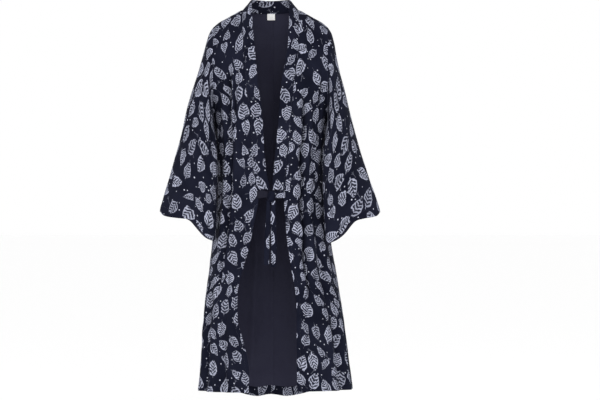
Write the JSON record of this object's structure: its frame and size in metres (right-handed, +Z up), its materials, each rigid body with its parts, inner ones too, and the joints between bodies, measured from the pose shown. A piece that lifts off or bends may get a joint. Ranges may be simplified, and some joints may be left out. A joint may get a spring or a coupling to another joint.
{
  "type": "cotton yukata robe",
  "caption": "Long cotton robe with wide sleeves and a band collar, worn open over a hollow body and tied at the waist, in a dark leaf print.",
  "frame": {"origin": "middle of the neck opening, level with the collar seam at the nape, where the shoulders carry the robe", "axes": "+Z up; the front faces -Y; the wearer's right side is at -X"},
  "size_m": [0.7358, 0.3288, 1.3341],
  "materials": {
    "printed_cotton": "plain-weave navy cotton with a grey leaf print",
    "plain_reverse": "plain navy reverse of the cotton",
    "label": "bare white woven label"
  },
  "bodies": {
    "root": {"back_left": "printed_cotton", "back_right": "printed_cotton", "front_left": "printed_cotton", "front_right": "printed_cotton", "sleeve_left": "printed_cotton", "sleeve_right": "printed_cotton", "collar": "printed_cotton", "hem_left": "printed_cotton", "hem_right": "printed_cotton", "tie_left": "plain_reverse", "tie_right": "printed_cotton", "tie_knot": "printed_cotton", "tie_tail_left": "printed_cotton", "tie_tail_right": "printed_cotton", "neck_label": "label"}
  },
  "joints": []
}
